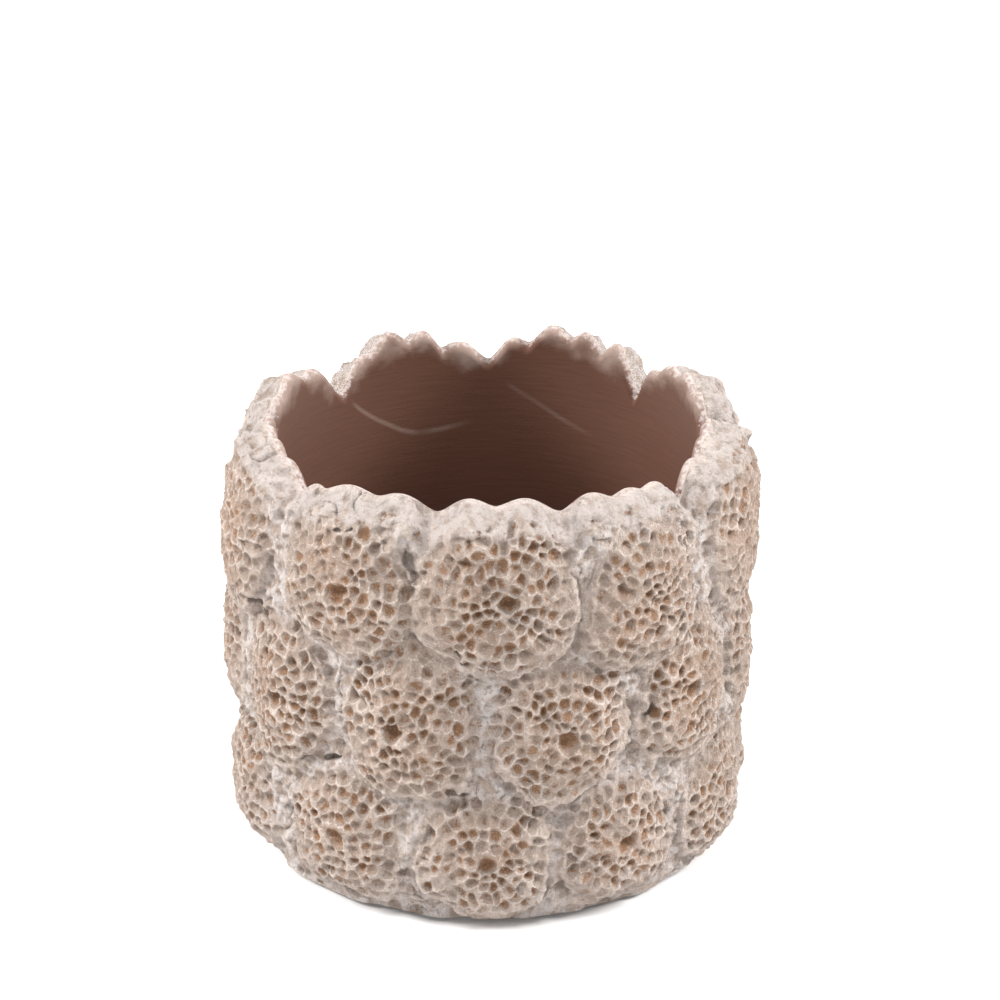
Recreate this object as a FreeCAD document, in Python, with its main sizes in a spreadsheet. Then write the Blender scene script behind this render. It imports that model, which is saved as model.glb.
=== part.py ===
import math
import os

import FreeCAD
import Part
import Sketcher

# A round cachepot, cast in one piece in cement, with rows of domed relief round the outside and
# a scalloped rim. A sealing coat lines the well, and felt pads are stuck under the base.
# Millimetres, +Z up. The origin is on the axis, at the level of the surface the pads stand on.
# A turn is an angle in degrees about the axis, from the front (-Y), positive towards +X.

# Driving dimensions: the alias of each cell, its value and what it measures
DIMENSIONS = (
    ("pot_height", 130.0, "surface below the pads to the crest of the rim"),
    ("well_radius", 60.0, "inside radius, on the sealing coat"),
    ("coat_thickness", 0.8, "sealing coat on the wall and the floor of the well"),
    ("coat_freeboard", 20.0, "crest of the rim down to the upper edge of the coat"),
    ("coat_feather", 9.0, "height over which the coat thins out at its upper edge"),
    ("coat_edge", 0.2, "thickness that is left of the coat at its upper edge"),
    ("well_corner", 6.0, "rounding between the wall and the floor of the well"),
    ("wall_thickness", 10.3, "cement wall in the valleys between the domes"),
    ("floor_thickness", 12.0, "cement floor"),
    ("base_inset", 5.2, "how far the base draws in from the wall"),
    ("base_slope", 13.0, "height over which the base draws in"),
    ("notch_drop", 17.0, "crest of the rim down to the wall's top in the notches"),
    ("notch_slope", 7.0, "height over which the wall leans in below its top"),
    ("notch_inset", 4.5, "how far the wall leans in below its top"),
    ("dome_rise", 6.4, "height of a dome over the wall"),
    ("bottom_dome_radius", 33.0, "sphere of the domes of the bottom row"),
    ("middle_dome_radius", 33.0, "sphere of the domes of the middle row"),
    ("top_dome_radius", 34.0, "sphere of the domes of the top row"),
    ("bottom_row", 22.5, "surface below the pads to the middles of the bottom row, on average"),
    ("middle_row", 62.0, "surface below the pads to the middles of the middle row, on average"),
    ("pit_radius", 4.2, "sphere of the large pit in the crown of a dome"),
    ("pit_depth", 1.6, "large pit below the crown of its dome"),
    ("knuckle_radius", 9.0, "sphere of the swellings along the rim"),
    ("knuckle_inset", 1.5, "face of the well in to the middle of a knuckle"),
    ("knuckle_rise", 0.7, "how far a knuckle stands above the edge of its dome"),
    ("pad_radius", 10.0, "felt pad"),
    ("pad_thickness", 1.5, "felt pad"),
    ("pad_circle", 46.0, "axis to the centres of the pads"),
)

# The domes of each row: turn, and how far the dome lies above its row's height. The rows are
# staggered and, as in any hand-made mould, uneven.
BOTTOM_ROW = (
    (-35, 0.5), (-1, -1), (31, 0), (66, -0.5), (102, 1), (138, -0.5), (174, 0), (210, 0.5),
    (246, -0.5), (285, 0),
)
MIDDLE_ROW = (
    (-19, 1.5), (17, -1), (51, 0.5), (87, -1), (123, 1.5), (159, -1.5), (196, 0.5), (233, -0.5),
    (270, 1), (306, -1),
)
# In the top row, each dome also has the knuckles on its edge, as turns from the dome's own middle
TOP_ROW = (
    (-35.0, 0, (-14.0, -5.0, 8.5)),
    (2.8, 0, (-14.5, -6.5, 7.0)),
    (38.8, -1, (-10.0, 2.5, 11.0)),
    (77.5, 0, (-13.0, -3.5, 5.5, 14.0)),
    (117.0, 0, (-14.0, -4.0, 6.5)),
    (158.0, 0, (-15.0, -5.3, 5.0, 14.8)),
    (201.0, 0, (-14.2, -3.4, 6.6, 16.0)),
    (242.5, 0, (-12.0, -1.5, 9.5)),
    (283.5, 0, (-13.5, -4.5, 5.0, 14.0)),
)
PAD_TURNS = (45, 135, 225, 315)

# Places that follow from the driving dimensions
WELL_FACE = "(Dimensions.well_radius + Dimensions.coat_thickness)"
WALL_FACE = f"({WELL_FACE} + Dimensions.wall_thickness)"
BASE_Z = "Dimensions.pad_thickness"
FLOOR_Z = "(Dimensions.pad_thickness + Dimensions.floor_thickness)"
NOTCH_Z = "(Dimensions.pot_height - Dimensions.notch_drop)"
COAT_TOP_Z = "(Dimensions.pot_height - Dimensions.coat_freeboard)"
DOME_REACH = f"({WALL_FACE} + Dimensions.dome_rise)"
TOP_SEAT = f"({DOME_REACH} - Dimensions.top_dome_radius)"
KNUCKLE_SEAT = f"({WELL_FACE} - Dimensions.knuckle_inset)"
MOULD_MARGIN = "Dimensions.wall_thickness"

doc = FreeCAD.newDocument("cachepot")


def make_sheet():
    """The spreadsheet of driving dimensions, one aliased cell each."""
    sheet = doc.addObject("Spreadsheet::Sheet", "Dimensions")
    for row, (alias, value, meaning) in enumerate(DIMENSIONS, start=1):
        sheet.set(f"A{row}", alias)
        sheet.set(f"B{row}", str(value))
        sheet.set(f"C{row}", meaning)
        sheet.setAlias(f"B{row}", alias)
    doc.recompute()


def bind(sketch, name, expression, size, kind, *places):
    """Adds a sized constraint and binds its size to the sheet."""
    index = sketch.addConstraint(Sketcher.Constraint(kind, *places, size))
    sketch.renameConstraint(index, name)
    sketch.setExpression(f"Constraints.{name}", expression)


def turned_body(label, corners):
    """A body turned about Z from a closed profile of straight lines, whose corners are pairs of
    expressions: distance from the axis, and height. The lines are drawn roughly and then held by
    their sizes."""
    body = doc.addObject("PartDesign::Body", label)
    plane = next(o for o in body.Origin.OriginFeatures if o.Role == "XZ_Plane")
    sketch = body.newObject("Sketcher::SketchObject", label + "_profile")
    sketch.AttachmentSupport = [(plane, "")]
    sketch.MapMode = "FlatFace"
    count = len(corners)
    angles = [2 * math.pi * i / count for i in range(count)]
    rough = [FreeCAD.Vector(2 + math.cos(angle), 2 + math.sin(angle), 0) for angle in angles]
    for i in range(count):
        sketch.addGeometry(Part.LineSegment(rough[i], rough[(i + 1) % count]))
    for i, (radius, height) in enumerate(corners):
        sketch.addConstraint(Sketcher.Constraint("Coincident", i, 2, (i + 1) % count, 1))
        bind(sketch, f"radius_{i}", radius, rough[i].x, "DistanceX", -1, 1, i, 1)
        bind(sketch, f"height_{i}", height, rough[i].y, "DistanceY", -1, 1, i, 1)
    turned = body.newObject("PartDesign::Revolution", label + "_turned")
    turned.Profile = sketch
    turned.ReferenceAxis = (sketch, ["V_Axis"])
    turned.Angle = 360
    doc.recompute()
    return body, sketch


def round_corner(body, sketch, corner, rounding):
    """Rounds the edge that a corner of a turned profile leaves."""
    base = body.Tip
    at = sketch.getPoint(corner, 1)
    edges = [
        f"Edge{n}"
        for n, edge in enumerate(base.Shape.Edges, start=1)
        if isinstance(edge.Curve, Part.Circle)
        and math.isclose(edge.Curve.Radius, at.x, abs_tol=1e-6)
        and math.isclose(edge.Curve.Center.z, at.y, abs_tol=1e-6)
    ]
    fillet = body.newObject("PartDesign::Fillet", f"{body.Label}_rounding_{len(body.Group)}")
    fillet.Base = (base, edges)
    fillet.setExpression("Radius", rounding)
    doc.recompute()


def put(feature, seat, turn, height):
    """Places a feature at a distance from the axis, a turn and a height, its +Y outwards."""
    axis = FreeCAD.Vector(0, 0, 1)
    feature.Placement = FreeCAD.Placement(FreeCAD.Vector(), FreeCAD.Rotation(axis, turn + 180))
    feature.setExpression("Placement.Base.x", f"{seat} * sin({turn})")
    feature.setExpression("Placement.Base.y", f"-1 * {seat} * cos({turn})")
    feature.setExpression("Placement.Base.z", height)


def half_sphere(name, radius, seat, turn, height):
    """The outward half of a sphere at a distance from the axis, a turn and a height."""
    bump = doc.addObject("Part::Sphere", name)
    bump.setExpression("Radius", radius)
    bump.Angle3 = 180
    put(bump, seat, turn, height)
    return bump


def crest(offset):
    """How far the edge of a top dome lies above its middle, at the face of the well and at a turn
    from the dome's own middle."""
    out = f"({WELL_FACE} * cos({offset}) - {TOP_SEAT})"
    across = f"({WELL_FACE} * sin({offset}))"
    return f"sqrt(Dimensions.top_dome_radius ^ 2 - {out} ^ 2 - {across} ^ 2)"


# The top row hangs from the crest of the rim
TOP_ROW_Z = f"(Dimensions.pot_height - Dimensions.knuckle_rise - {crest(0)})"

# Each row of domes: its name, its places and its height
ROWS = (
    ("bottom", BOTTOM_ROW, "Dimensions.bottom_row"),
    ("middle", MIDDLE_ROW, "Dimensions.middle_row"),
    ("top", [(turn, lift) for turn, lift, _ in TOP_ROW], TOP_ROW_Z),
)


def make_domes():
    """The relief domes of the three rows."""
    domes = []
    for row, places, height in ROWS:
        radius = f"Dimensions.{row}_dome_radius"
        seat = f"({DOME_REACH} - {radius})"
        for number, (turn, lift) in enumerate(places, start=1):
            name = f"{row}_dome_{number}"
            domes.append(half_sphere(name, radius, seat, turn, f"{height} + {lift}"))
    return domes


def make_pits():
    """What the large pit in the crown of each dome takes away."""
    seat = f"({DOME_REACH} - Dimensions.pit_depth + Dimensions.pit_radius)"
    pits = []
    for row, places, height in ROWS:
        for number, (turn, lift) in enumerate(places, start=1):
            pit = doc.addObject("Part::Sphere", f"{row}_pit_{number}")
            pit.setExpression("Radius", "Dimensions.pit_radius")
            put(pit, seat, turn, f"{height} + {lift}")
            pits.append(pit)
    group = doc.addObject("Part::Compound", "pits")
    group.Links = pits
    return group


def make_knuckles():
    """The swellings along the rim, each on the round edge of its top dome."""
    radius = "Dimensions.knuckle_radius"
    knuckles = []
    for number, (turn, lift, offsets) in enumerate(TOP_ROW, start=1):
        for place, offset in enumerate(offsets, start=1):
            name = f"knuckle_{number}_{place}"
            top = f"{TOP_ROW_Z} + {lift} + {crest(offset)} + Dimensions.knuckle_rise"
            knuckles.append(half_sphere(
                name, radius, KNUCKLE_SEAT, turn + offset, f"{top} - {radius}"))
    return knuckles


def make_cast_pot():
    """The casting: wall, floor, domes and rim in one solid, pitted, hollowed and cut flat below."""
    blank, _ = turned_body("wall_blank", (
        ("0", "0"),
        (f"{WALL_FACE} - Dimensions.base_inset", "0"),
        (WALL_FACE, "Dimensions.base_slope"),
        (WALL_FACE, f"{NOTCH_Z} - Dimensions.notch_slope"),
        (f"{WALL_FACE} - Dimensions.notch_inset", NOTCH_Z),
        ("0", NOTCH_Z),
    ))
    well, well_profile = turned_body("well", (
        ("0", FLOOR_Z),
        (WELL_FACE, FLOOR_Z),
        (WELL_FACE, f"Dimensions.pot_height + {MOULD_MARGIN}"),
        ("0", f"Dimensions.pot_height + {MOULD_MARGIN}"),
    ))
    round_corner(well, well_profile, 1, "Dimensions.well_corner + Dimensions.coat_thickness")
    depth = "Dimensions.bottom_dome_radius"
    below = doc.addObject("Part::Cylinder", "below_the_base")
    below.setExpression("Radius", f"{DOME_REACH} + {MOULD_MARGIN}")
    below.setExpression("Height", depth)
    below.setExpression("Placement.Base.z", f"{BASE_Z} - {depth}")
    relief = doc.addObject("Part::MultiFuse", "relief")
    relief.Shapes = [blank, *make_domes(), *make_knuckles()]
    pitted = doc.addObject("Part::Cut", "pitted")
    pitted.Base = relief
    pitted.Tool = make_pits()
    trimmed = doc.addObject("Part::Cut", "trimmed")
    trimmed.Base = pitted
    trimmed.Tool = below
    pot = doc.addObject("Part::Cut", "cast_pot")
    pot.Base = trimmed
    pot.Tool = well
    return pot


def make_sealing_coat():
    """The waterproof coat brushed into the well, thinning out below the notches of the rim."""
    coat_floor = f"({FLOOR_Z} + Dimensions.coat_thickness)"
    coat, profile = turned_body("sealing_coat", (
        ("0", FLOOR_Z),
        (WELL_FACE, FLOOR_Z),
        (WELL_FACE, COAT_TOP_Z),
        (f"{WELL_FACE} - Dimensions.coat_edge", COAT_TOP_Z),
        ("Dimensions.well_radius", f"{COAT_TOP_Z} - Dimensions.coat_feather"),
        ("Dimensions.well_radius", coat_floor),
        ("0", coat_floor),
    ))
    round_corner(coat, profile, 1, "Dimensions.well_corner + Dimensions.coat_thickness")
    round_corner(coat, profile, 5, "Dimensions.well_corner")
    return coat


def make_foot_pads():
    """The self-adhesive felt pads under the base."""
    pads = []
    for number, turn in enumerate(PAD_TURNS, start=1):
        pad = doc.addObject("Part::Cylinder", f"foot_pad_{number}")
        pad.setExpression("Radius", "Dimensions.pad_radius")
        pad.setExpression("Height", "Dimensions.pad_thickness")
        put(pad, "Dimensions.pad_circle", turn, "0")
        pads.append(pad)
    return pads


def check_document():
    """Stops if any object failed to compute."""
    for item in doc.Objects:
        if {"Invalid", "Error"} & set(item.State):
            raise RuntimeError(f"{item.Label} failed: {item.State}")


def write(sub_parts):
    """Writes each sub-part as a STEP file named by its label."""
    for item in sub_parts:
        if item.Shape.isNull() or not item.Shape.isValid():
            raise RuntimeError(f"{item.Label} has no valid shape")
    os.makedirs("parts", exist_ok=True)
    for item in sub_parts:
        item.Shape.exportStep(f"parts/{item.Label}.step")
        print(item.Label, len(item.Shape.Solids), "solid", round(item.Shape.Volume / 1000, 2), "cm3")


make_sheet()
sub_parts = [make_sealing_coat(), *make_foot_pads(), make_cast_pot()]
doc.recompute()
check_document()
write(sub_parts)
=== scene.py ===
import math

import bpy
import numpy as np
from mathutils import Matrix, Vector


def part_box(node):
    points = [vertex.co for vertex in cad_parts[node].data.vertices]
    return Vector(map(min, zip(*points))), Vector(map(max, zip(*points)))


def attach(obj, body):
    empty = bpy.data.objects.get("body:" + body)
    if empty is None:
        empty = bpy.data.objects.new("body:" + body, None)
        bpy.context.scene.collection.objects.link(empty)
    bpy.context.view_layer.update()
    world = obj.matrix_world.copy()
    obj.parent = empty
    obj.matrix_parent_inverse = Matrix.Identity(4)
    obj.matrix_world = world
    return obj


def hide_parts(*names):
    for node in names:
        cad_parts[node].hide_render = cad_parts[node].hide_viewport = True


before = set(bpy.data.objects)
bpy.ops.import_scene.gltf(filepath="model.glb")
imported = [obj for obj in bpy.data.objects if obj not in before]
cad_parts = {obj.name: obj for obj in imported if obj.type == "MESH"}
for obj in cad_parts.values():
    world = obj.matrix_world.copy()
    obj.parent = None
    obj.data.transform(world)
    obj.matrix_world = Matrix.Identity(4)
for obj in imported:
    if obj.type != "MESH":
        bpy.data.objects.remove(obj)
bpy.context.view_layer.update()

bl_info = {
    "name": "Relief cachepot",
    "version": (1, 0, 0),
    "blender": (4, 5, 0),
    "location": "View3D > Sidebar > Cachepot",
    "description": "Sculpts a cast cement cachepot with pitted lumps, a sealed well and felt pads",
    "category": "Object",
}

# Lengths inside the sculpting functions are millimetres, and turns are degrees about the pot's
# axis from the front (-Y), positive towards +X.
MM = 0.001
POT_LOW, POT_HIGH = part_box("cast_pot")
COAT_LOW, COAT_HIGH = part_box("sealing_coat")
FOOT_PADS = sorted(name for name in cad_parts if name.startswith("foot_pad"))

# Each lump: turn and height of its middle, half its width, half its height, and how far its large
# hole lies across and up from its middle
TOP_LUMPS = (
    (-34.0, 104.5, 23.2, 23.5, 1.0, -2.5),
    (1.8, 105.0, 26.0, 24.5, 2.8, 0.0),
    (37.0, 99.0, 21.5, 23.5, -9.0, 3.5),
    (77.5, 103.0, 24.5, 24.5, 2.0, -1.0),
    (117.0, 104.0, 24.0, 24.0, -3.0, 1.0),
    (158.0, 105.0, 25.5, 24.0, 1.0, 2.0),
    (201.0, 104.0, 25.0, 24.5, 3.0, -1.0),
    (242.5, 104.5, 24.5, 24.0, -2.0, -2.0),
    (283.5, 103.0, 24.0, 24.5, 1.5, 1.0),
)
MIDDLE_LUMPS = (
    (-18.4, 64.5, 21.0, 26.0, -2.3, -1.3),
    (16.6, 62.0, 21.5, 22.5, 1.2, -2.0),
    (51.0, 64.0, 21.2, 24.0, -2.0, 1.0),
    (87.0, 62.5, 21.6, 24.5, 2.5, 0.0),
    (123.0, 65.0, 21.2, 24.0, -1.0, 2.5),
    (159.0, 62.0, 21.2, 25.0, 1.0, -2.0),
    (196.0, 64.0, 21.6, 24.5, 3.0, 1.0),
    (233.0, 63.0, 21.6, 25.0, -2.5, -1.0),
    (270.0, 64.5, 21.2, 24.0, 0.5, 2.0),
    (306.0, 62.5, 21.2, 24.5, 2.0, -1.5),
)
BOTTOM_LUMPS = (
    (-35.0, 23.5, 20.5, 21.0, 0.0, 0.5),
    (-1.0, 22.5, 20.5, 21.0, 0.5, 0.0),
    (31.0, 23.0, 20.0, 20.5, -0.5, 1.0),
    (66.0, 22.5, 20.5, 21.0, 2.0, 1.0),
    (102.0, 24.0, 21.0, 21.0, -2.0, 0.0),
    (138.0, 22.5, 20.5, 21.0, 1.0, 2.0),
    (174.0, 23.0, 21.0, 20.5, -1.5, 1.0),
    (210.0, 23.5, 20.5, 21.0, 2.5, 0.5),
    (246.0, 22.5, 21.0, 21.0, -1.0, 1.5),
    (285.0, 23.0, 21.0, 20.5, 1.0, 0.0),
)

# The rim from dip to dip: turn and height of each dip, and the rise of the knuckle after it
RIM_DIPS = (
    (-53.7, 121.8, 1.6), (-47.0, 125.3, 2.4), (-29.4, 128.3, 2.9), (-13.0, 126.4, 3.2),
    (1.9, 128.6, 3.3), (18.5, 125.8, 3.2), (33.2, 127.1, 1.4), (42.8, 126.5, 3.8),
    (56.2, 116.8, 4.5), (69.0, 125.4, 3.0), (78.5, 127.4, 2.6), (87.5, 126.9, 2.5),
    (97.0, 120.4, 3.5), (108.0, 127.7, 2.6), (118.0, 128.9, 2.4), (127.5, 125.9, 3.0),
    (135.4, 115.6, 8.0), (147.7, 125.8, 3.6), (156.7, 128.5, 4.2), (169.4, 125.2, 3.4),
    (179.9, 119.7, 3.2), (192.3, 123.8, 4.0), (201.9, 127.6, 4.2), (214.0, 125.9, 2.5),
    (223.8, 116.1, 4.2), (239.5, 126.9, 3.8), (254.0, 127.4, 3.0), (263.0, 121.4, 4.0),
    (274.0, 125.9, 3.0), (283.5, 127.7, 2.4), (293.0, 126.9, 2.8),
)

# Deep cracks and hollows of the casting, cut in and painted dark as shade: turn and height of both ends,
# and the width
GOUGES = (
    (-9.5, 86.8, -5.0, 84.6, 1.0), (-46.5, 44.0, -36.0, 48.6, 0.7), (-8.8, 45.0, -5.8, 43.0, 0.9),
    (-35.5, 120.3, -31.0, 121.6, 0.45), (39.4, 65.5, 37.2, 61.0, 1.3), (-18.2, 115.0, -17.0, 110.0, 2.2),
    (20.5, 84.0, 27.0, 82.5, 0.7), (70.0, 84.5, 76.0, 82.0, 0.9), (104.0, 45.0, 112.0, 47.0, 0.8),
    (140.0, 85.0, 146.0, 87.0, 1.1), (178.0, 44.5, 183.0, 42.0, 0.9), (215.0, 84.0, 222.0, 86.0, 1.0),
    (262.0, 46.0, 269.0, 44.0, 0.8), (295.0, 85.0, 300.0, 83.0, 1.0),
)

# Pale hairlines on the back of the well, each from left to right: x and height
HAIRLINES = (
    (0.30, ((-41, 114), (-36, 108), (-30, 103), (-23, 99), (-17, 98.5), (-9, 99.7), (-3, 101))),
    (0.17, ((5, 113), (15, 107), (24, 102), (33, 99))),
)
CURVE_SPAN = 130.0

# Noise fields of the cement: size of a cell of the lattice, seed, and height
FIELDS = {
    "ground_broad": (8.0, 25, 1.2), "ground_fine": (4.0, 26, 0.9), "stain_patches": (13.0, 31, 1.0),
    "lip_patches": (15.0, 32, 1.0), "gouge_edges": (2.0, 33, 0.8), "gouge_breaks": (4.0, 34, 1.0),
    "rim_edge": (5.0, 9, 2.0), "rim_foot": (7.0, 12, 1.0), "pit_depths": (6.0, 3, 0.5),
    "washed_over": (14.0, 35, 1.0), "swell_broad": (5.0, 5, 0.8), "swell_fine": (2.2, 6, 0.55),
    "pocks": (3.4, 10, 1.3), "grain": (1.0, 7, 0.26), "creases_broad": (3.4, 13, 1.0),
    "creases_fine": (1.6, 16, 0.5), "crease_patches": (9.0, 17, 1.0), "cracks": (6.5, 14, 1.0),
    "crack_patches": (11.0, 15, 1.0), "chips": (3.2, 37, 1.0), "torn": (10.0, 8, 1.0),
}


def length_property(name, description, default):
    """A length in metres."""
    return bpy.props.FloatProperty(
        name=name, description=description, default=default, unit="LENGTH", precision=4)


def colour_property(name, description, default):
    """A colour without alpha."""
    return bpy.props.FloatVectorProperty(
        name=name, description=description, default=default, subtype="COLOR", size=3, min=0, max=1)


class PotSizes(bpy.types.PropertyGroup):
    """Sizes of the relief and of the well."""
    lump_reach: length_property("Lump reach", "Axis to the crown of a lump", max(POT_HIGH[0], POT_HIGH[1]))
    lump_rise: length_property("Lump rise", "Crown of a lump over the valleys round it", 0.0062)
    pit_depth: bpy.props.FloatProperty(
        name="Pit depth", description="Depth of a pit as a share of its width",
        default=0.56, min=0.0, max=1.0, subtype="FACTOR")
    groove_depth: length_property("Groove depth", "Narrow groove where two lumps meet", 0.0011)
    rim_roll: length_property("Rim roll", "Height over which the outside rolls over to the rim", 0.0075)
    rim_crest: length_property("Rim crest", "Face of the well out to the highest line of the rim", 0.0028)
    well_face: length_property("Well face", "Radius of the casting's inner face", COAT_HIGH[0])
    coat_thickness: length_property("Coat thickness", "Sealing coat on the wall and the floor", 0.0008)


class PotColours(bpy.types.PropertyGroup):
    """Colours of the cement, the sealer and the felt."""
    # The ridge colour is also used for painted highlights: on bumps, on the lower lips of the pits and
    # along the crest
    ridge: colour_property("Ridge", "Dry cement on the ridges between pits", (0.725, 0.618, 0.553))
    body: colour_property("Body", "Plain cement", (0.46, 0.362, 0.302))
    # The shade colour is also painted as shade in the hollows of the relief
    shade: colour_property("Shade", "Greyer patches of the cement", (0.35, 0.268, 0.215))
    # The stain is laid towards the upper side of each pit, where it also stands in for painted shade
    stain_and_shade: colour_property("Stain", "Brown stain in the pits", (0.245, 0.110, 0.040))
    rust: colour_property("Rust", "Lighter flecks in the stain", (0.33, 0.172, 0.080))
    wash: colour_property("Wash", "Grey-white wash in the valleys and on the rim", (0.67, 0.61, 0.585))
    # Painted shade in the grooves, cracks, creases and gouges, darkest where they cut deepest
    groove_shade: colour_property("Crevice", "Dirt in the deepest grooves", (0.09, 0.065, 0.05))
    sealer: colour_property("Sealer", "Brushed sealing coat", (0.100, 0.042, 0.0255))
    dust: colour_property("Dust", "Pale wash that drifts over the rim's inner edge", (0.35, 0.262, 0.222))
    felt: colour_property("Felt", "Pressed felt of the pads", (0.11, 0.075, 0.052))


class PotStage(bpy.types.PropertyGroup):
    """Camera and light."""
    camera_place: bpy.props.FloatVectorProperty(
        name="Camera", description="Where the camera stands",
        default=(0.0, -1.300, 0.6895), subtype="TRANSLATION", size=3)
    camera_dip: bpy.props.FloatProperty(
        name="Dip", description="How far the camera looks down",
        default=math.radians(24.32), subtype="ANGLE")
    camera_swing: bpy.props.FloatProperty(
        name="Swing", description="How far the camera looks to the right",
        default=0.0026, subtype="ANGLE")
    lens: bpy.props.FloatProperty(
        name="Lens", description="Focal length on a 36 mm sensor", default=178.2)
    fill: bpy.props.FloatProperty(
        name="Fill", description="Strength of the even light from all round", default=0.32)


def wrapped(turns):
    """Turns brought into the range from -180 to 180."""
    return (turns + 180.0) % 360.0 - 180.0


def smoothstep(low, high, values):
    """0 below low, 1 above high, and an easy ramp between."""
    t = np.clip((values - low) / (high - low), 0.0, 1.0)
    return t * t * (3.0 - 2.0 * t)


def lattice_noise(points, size, seed, count=64):
    """Smooth noise from -1 to 1 on a lattice of random values, one cell per size, which repeats after
    a count of cells."""
    rng = np.random.default_rng(seed)
    lattice = rng.uniform(-1.0, 1.0, (count, count, count))
    scaled = points / size
    base = np.floor(scaled).astype(int)
    part = scaled - base
    part = part * part * (3.0 - 2.0 * part)
    total = np.zeros(len(points))
    for corner in np.ndindex(2, 2, 2):
        weight = np.ones(len(points))
        for axis in range(3):
            weight = weight * (part[:, axis] if corner[axis] else 1.0 - part[:, axis])
        index = (base + np.array(corner)) % count
        total += weight * lattice[index[:, 0], index[:, 1], index[:, 2]]
    return total


def noise(points, field):
    """Smooth noise of a named field, up and down to its height."""
    size, seed, height = FIELDS[field]
    return height * lattice_noise(points, size, seed)


def rim_arch(turns):
    """Height of the rim's crest at each turn, and how far the knuckle there is arched, from 0 in
    the dips to 1."""
    dips = np.array(RIM_DIPS)
    starts, heights, rises = dips[:, 0], dips[:, 1], dips[:, 2]
    ends = np.append(starts[1:], starts[0] + 360.0)
    next_heights = np.append(heights[1:], heights[0])
    turns = (turns - starts[0]) % 360.0 + starts[0]
    at = np.clip(np.searchsorted(starts, turns, side="right") - 1, 0, len(starts) - 1)
    along = (turns - starts[at]) / (ends[at] - starts[at])
    line = heights[at] + (next_heights[at] - heights[at]) * smoothstep(0.0, 1.0, along)
    arch = (4.0 * along * (1.0 - along)) ** KNUCKLE_POWER
    return line + rises[at] * arch, arch


def rim_height(turns):
    """Height of the rim's crest at each turn."""
    return rim_arch(turns)[0]


def drift_height(turns):
    """Height of the rim at each turn, smoothed over its knuckles."""
    asides = np.linspace(-DRIFT_REACH, DRIFT_REACH, DRIFT_STEPS)
    return np.mean([rim_height(turns + aside) for aside in asides], axis=0)


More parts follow.
